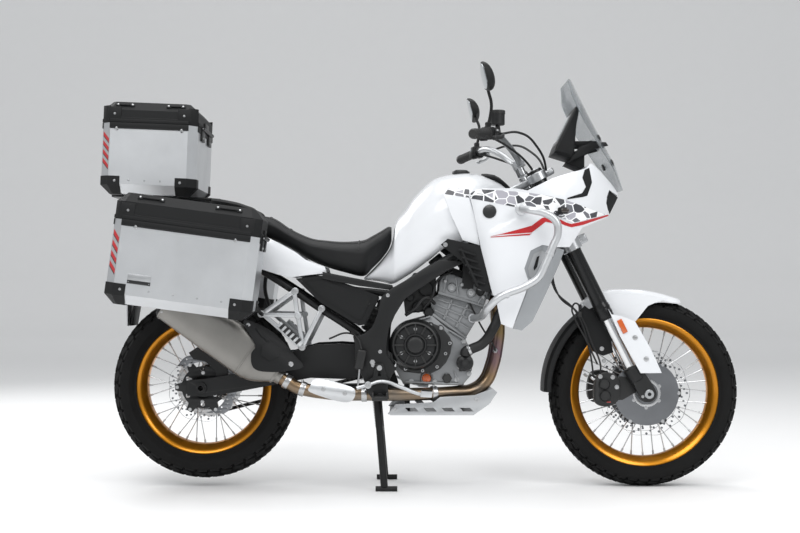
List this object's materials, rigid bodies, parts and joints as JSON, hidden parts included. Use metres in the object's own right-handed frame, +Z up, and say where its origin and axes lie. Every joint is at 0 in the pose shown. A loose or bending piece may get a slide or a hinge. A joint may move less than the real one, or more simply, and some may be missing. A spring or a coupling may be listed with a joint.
{
  "type": "adventure motorcycle",
  "caption": "Adventure motorcycle with spoked wheels, steering front end, fold-down stands and lidded aluminium luggage cases.",
  "frame": {"origin": "on the floor under the middle of the motorcycle's bounding box", "axes": "+X forward, +Y the rider's left, +Z up"},
  "size_m": [2.196, 0.956, 1.426],
  "materials": {
    "frame_black": "satin",
    "cast_grey": "matte",
    "cover_black": "satin",
    "radiator_black": "matte",
    "heat_steel": "satin",
    "titanium_grey": "satin",
    "plate_aluminium": "brushed",
    "spring_black": "satin",
    "chain_steel": "satin",
    "gloss_white": "gloss",
    "seat_vinyl": "matte",
    "plastic_black": "matte",
    "lamp_lens": "gloss",
    "smoked_screen": "gloss",
    "satin_silver": "satin",
    "case_aluminium": "brushed",
    "lid_black": "satin",
    "clamp_silver": "satin",
    "fork_black": "gloss",
    "bar_silver": "satin",
    "tyre_rubber": "matte",
    "rim_gold": "satin"
  },
  "bodies": {
    "chassis": {"main_frame": "frame_black", "subframe": "frame_black", "engine_block": "cast_grey", "clutch_cover": "cover_black", "generator_cover": "cover_black", "radiator": "radiator_black", "exhaust_headers": "heat_steel", "muffler": "titanium_grey", "skid_plate": "plate_aluminium", "swing_arm": "frame_black", "rear_shock": "spring_black", "chain": "chain_steel", "fuel_tank": "gloss_white", "seat": "seat_vinyl", "tail_panels": "gloss_white", "side_covers": "plastic_black", "side_shrouds": "gloss_white", "nose_fairing": "gloss_white", "headlight": "lamp_lens", "windshield": "smoked_screen", "dashboard": "plastic_black", "crash_bars": "satin_silver", "foot_gear": "satin_silver", "peg_brackets": "satin_silver", "rear_rack": "frame_black", "rear_mudguard": "plastic_black", "case_right": "case_aluminium", "case_left": "case_aluminium", "top_box": "case_aluminium"},
    "steering": {"triple_clamps": "clamp_silver", "fork_legs": "fork_black", "handlebar": "bar_silver", "controls": "plastic_black", "mirrors": "plastic_black", "front_fender": "gloss_white", "front_brake": "cover_black"},
    "front_wheel": {"front_tyre": "tyre_rubber", "front_rim": "rim_gold"},
    "rear_wheel": {"rear_tyre": "tyre_rubber", "rear_rim": "rim_gold"},
    "centre_stand": {"centre_stand": "frame_black"},
    "side_stand": {"side_stand": "frame_black"},
    "top_box_lid": {"top_box_lid": "lid_black"},
    "lid_right": {"lid_right": "lid_black"},
    "lid_left": {"lid_left": "lid_black"}
  },
  "joints": [
    {"name": "steering_head", "type": "hinge", "parent": "chassis", "child": "steering", "pos_m": [0.34775, 0, 1.077], "axis": [-0.4431, 0, 0.8965], "range_deg": [-37, 37]},
    {"name": "front_wheel_spin", "type": "hinge", "parent": "steering", "child": "front_wheel", "pos_m": [0.76675, 0, 0.3295], "axis": [0, 1, 0], "continuous": true},
    {"name": "rear_wheel_spin", "type": "hinge", "parent": "chassis", "child": "rear_wheel", "pos_m": [-0.76725, 0, 0.35], "axis": [0, 1, 0], "continuous": true},
    {"name": "centre_stand_hinge", "type": "hinge", "parent": "chassis", "child": "centre_stand", "pos_m": [-0.16725, 0, 0.345], "axis": [0, 1, 0], "range_deg": [0, 80]},
    {"name": "side_stand_hinge", "type": "hinge", "parent": "chassis", "child": "side_stand", "pos_m": [-0.11225, 0.165, 0.335], "axis": [0, -0.9437, -0.3308], "range_deg": [0, 95]},
    {"name": "top_box_lid_hinge", "type": "hinge", "parent": "chassis", "child": "top_box_lid", "pos_m": [-0.76065, 0, 1.23908], "axis": [0, 1, 0], "range_deg": [0, 80]},
    {"name": "lid_right_hinge", "type": "hinge", "parent": "chassis", "child": "lid_right", "pos_m": [-0.52155, -0.362, 0.85074], "axis": [0, 1, 0], "range_deg": [0, 90]},
    {"name": "lid_left_hinge", "type": "hinge", "parent": "chassis", "child": "lid_left", "pos_m": [-0.52155, 0.362, 0.85074], "axis": [0, 1, 0], "range_deg": [0, 90]}
  ]
}
